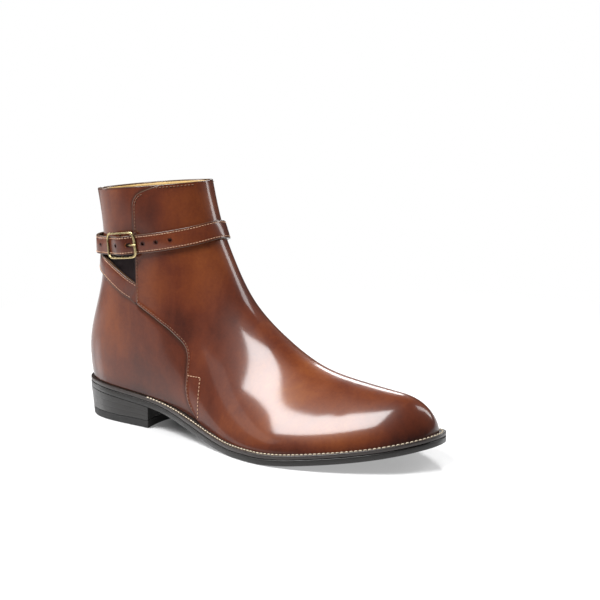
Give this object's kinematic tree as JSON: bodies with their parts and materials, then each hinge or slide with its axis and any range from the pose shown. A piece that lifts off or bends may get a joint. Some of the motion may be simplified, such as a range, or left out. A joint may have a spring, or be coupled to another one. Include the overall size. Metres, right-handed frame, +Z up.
{
  "type": "jodhpur boot",
  "caption": "Right ankle boot in glossy brown leather: plain front panel lapped over the quarters, a strap wound round the ankle to a side buckle, stacked heel.",
  "frame": {"origin": "on the floor under the middle of the sole's outline", "axes": "+X towards the toe, +Y towards the boot's inner side, +Z up"},
  "size_m": [0.3018, 0.1092, 0.176],
  "materials": {
    "upper_leather": "burnished brown leather with a glossy polish",
    "strap_leather": "burnished brown leather with a tan cut edge",
    "insole_leather": "plain tan leather",
    "sole_leather": "dark stained edge, semi-matt",
    "top_piece_rubber": "black rubber",
    "buckle_brass": "old brass, satin"
  },
  "bodies": {
    "root": {"upper": "upper_leather", "insole": "insole_leather", "welt": "sole_leather", "outsole": "sole_leather", "heel_block": "sole_leather", "top_piece": "top_piece_rubber", "strap": "strap_leather", "chape": "strap_leather", "buckle_frame": "buckle_brass", "buckle_prong": "buckle_brass"}
  },
  "joints": []
}
